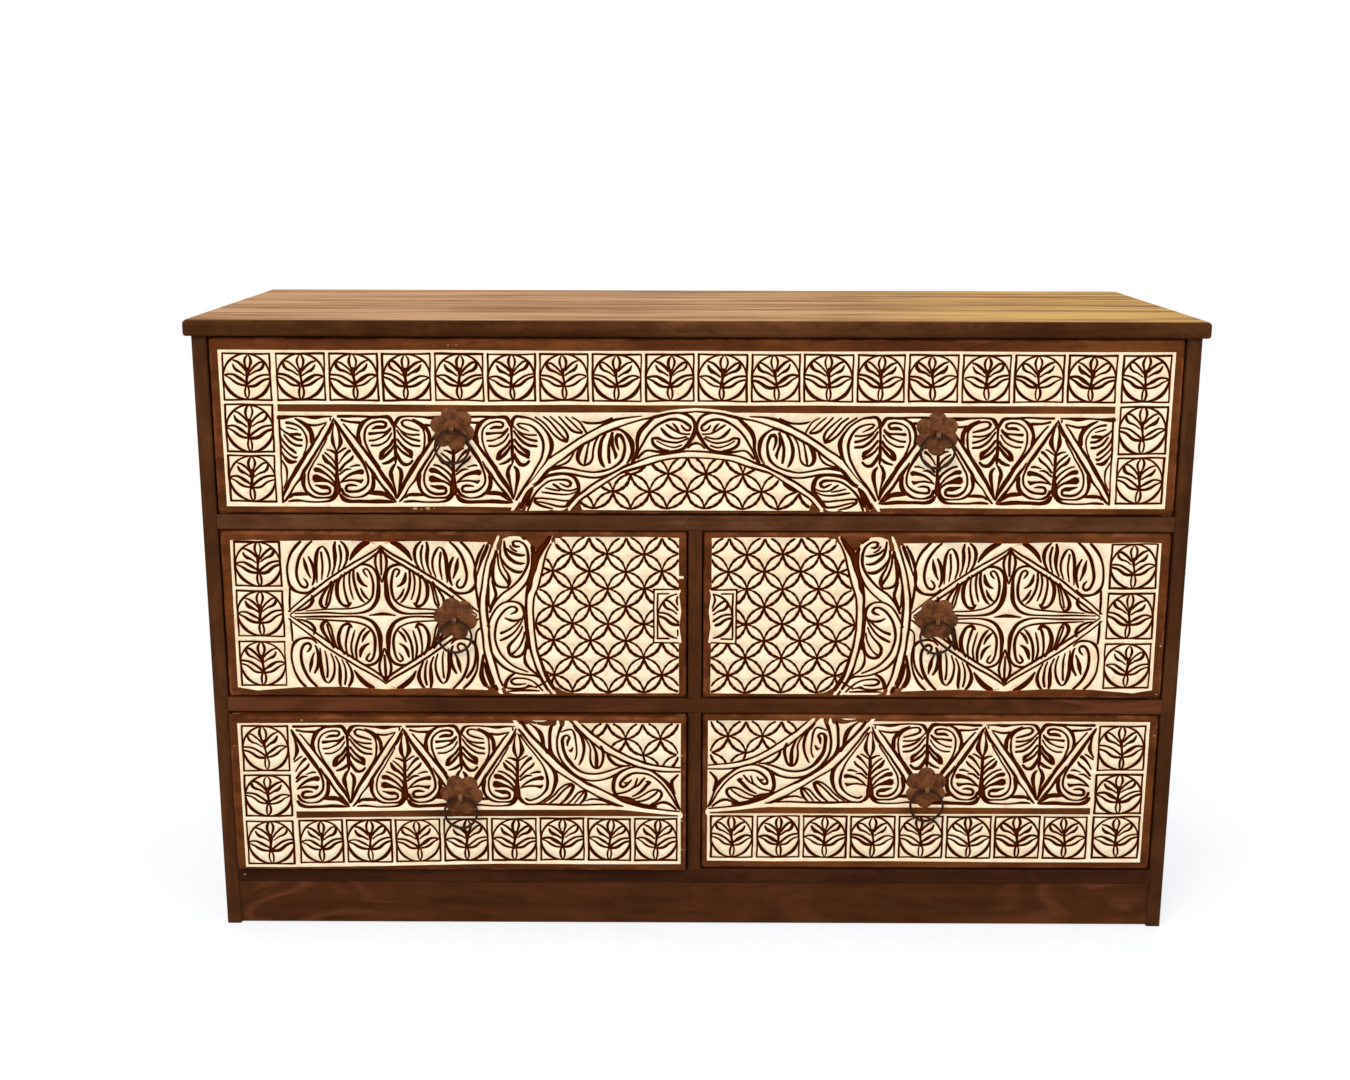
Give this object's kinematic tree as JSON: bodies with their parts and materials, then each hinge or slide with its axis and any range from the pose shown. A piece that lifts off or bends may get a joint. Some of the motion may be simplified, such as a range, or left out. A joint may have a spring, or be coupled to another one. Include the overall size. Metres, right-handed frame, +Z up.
{
  "type": "chest of drawers",
  "caption": "Solid wood chest with a full-width drawer over paired drawers, inset carved fronts, ring pulls on domed iron petal plates, and an overhanging top.",
  "frame": {"origin": "on the floor, at the middle of the chest's overall box", "axes": "+X to the right along the drawer fronts, +Y from the fronts to the back, +Z up"},
  "size_m": [1.22, 0.4431, 0.779],
  "materials": {
    "top_wood": "walnut stain, worn satin wax",
    "case_wood": "dark walnut stain, satin wax",
    "front_wood": "whitewashed carving with dark stained grooves and margin",
    "plain_wood": "bare planed wood",
    "iron": "hand-forged, brown-black patina",
    "staple_iron": "dull tan wire"
  },
  "bodies": {
    "case": {"top_board": "top_wood", "side_panel_left": "case_wood", "side_panel_right": "case_wood", "back_panel": "plain_wood", "plinth_board": "case_wood", "rail_upper": "case_wood", "rail_lower": "case_wood", "rail_bottom": "case_wood", "back_rail_upper": "case_wood", "back_rail_lower": "case_wood", "back_rail_bottom": "case_wood", "divider_middle": "case_wood", "divider_bottom": "case_wood", "runners_left": "plain_wood", "runners_right": "plain_wood", "runners_centre": "plain_wood", "drawer_stops": "plain_wood"},
    "drawer_top": {"top_front": "front_wood", "top_side_left": "plain_wood", "top_side_right": "plain_wood", "top_back": "plain_wood", "top_base": "plain_wood", "top_plates": "iron", "top_staples": "staple_iron"},
    "top_ring_left": {"top_ring_left": "iron"},
    "top_ring_right": {"top_ring_right": "iron"},
    "drawer_middle_left": {"middle_left_front": "front_wood", "middle_left_side_left": "plain_wood", "middle_left_side_right": "plain_wood", "middle_left_back": "plain_wood", "middle_left_base": "plain_wood", "middle_left_plate": "iron", "middle_left_staple": "staple_iron"},
    "middle_left_ring": {"middle_left_ring": "iron"},
    "drawer_middle_right": {"middle_right_front": "front_wood", "middle_right_side_left": "plain_wood", "middle_right_side_right": "plain_wood", "middle_right_back": "plain_wood", "middle_right_base": "plain_wood", "middle_right_plate": "iron", "middle_right_staple": "staple_iron"},
    "middle_right_ring": {"middle_right_ring": "iron"},
    "drawer_bottom_left": {"bottom_left_front": "front_wood", "bottom_left_side_left": "plain_wood", "bottom_left_side_right": "plain_wood", "bottom_left_back": "plain_wood", "bottom_left_base": "plain_wood", "bottom_left_plate": "iron", "bottom_left_staple": "staple_iron"},
    "bottom_left_ring": {"bottom_left_ring": "iron"},
    "drawer_bottom_right": {"bottom_right_front": "front_wood", "bottom_right_side_left": "plain_wood", "bottom_right_side_right": "plain_wood", "bottom_right_back": "plain_wood", "bottom_right_base": "plain_wood", "bottom_right_plate": "iron", "bottom_right_staple": "staple_iron"},
    "bottom_right_ring": {"bottom_right_ring": "iron"}
  },
  "joints": [
    {"name": "drawer_top_slide", "type": "slide", "parent": "case", "child": "drawer_top", "axis": [0, -1, 0], "range_m": [0, 0.3]},
    {"name": "top_ring_left_hinge", "type": "hinge", "parent": "drawer_top", "child": "top_ring_left", "pos_m": [-0.29325, -0.20575, 0.6465], "axis": [-1, 0, 0], "range_deg": [-10, 170]},
    {"name": "top_ring_right_hinge", "type": "hinge", "parent": "drawer_top", "child": "top_ring_right", "pos_m": [0.29025, -0.20575, 0.6425], "axis": [-1, 0, 0], "range_deg": [-10, 170]},
    {"name": "drawer_middle_left_slide", "type": "slide", "parent": "case", "child": "drawer_middle_left", "axis": [0, -1, 0], "range_m": [0, 0.3]},
    {"name": "middle_left_ring_hinge", "type": "hinge", "parent": "drawer_middle_left", "child": "middle_left_ring", "pos_m": [-0.29625, -0.20575, 0.409], "axis": [-1, 0, 0], "range_deg": [-10, 170]},
    {"name": "drawer_middle_right_slide", "type": "slide", "parent": "case", "child": "drawer_middle_right", "axis": [0, -1, 0], "range_m": [0, 0.3]},
    {"name": "middle_right_ring_hinge", "type": "hinge", "parent": "drawer_middle_right", "child": "middle_right_ring", "pos_m": [0.29825, -0.20575, 0.41], "axis": [-1, 0, 0], "range_deg": [-10, 170]},
    {"name": "drawer_bottom_left_slide", "type": "slide", "parent": "case", "child": "drawer_bottom_left", "axis": [0, -1, 0], "range_m": [-0.011, 0.289]},
    {"name": "bottom_left_ring_hinge", "type": "hinge", "parent": "drawer_bottom_left", "child": "bottom_left_ring", "pos_m": [-0.29325, -0.21675, 0.182], "axis": [-1, 0, 0], "range_deg": [-10, 170]},
    {"name": "drawer_bottom_right_slide", "type": "slide", "parent": "case", "child": "drawer_bottom_right", "axis": [0, -1, 0], "range_m": [0, 0.3]},
    {"name": "bottom_right_ring_hinge", "type": "hinge", "parent": "drawer_bottom_right", "child": "bottom_right_ring", "pos_m": [0.29325, -0.20575, 0.189], "axis": [-1, 0, 0], "range_deg": [-10, 170]}
  ]
}
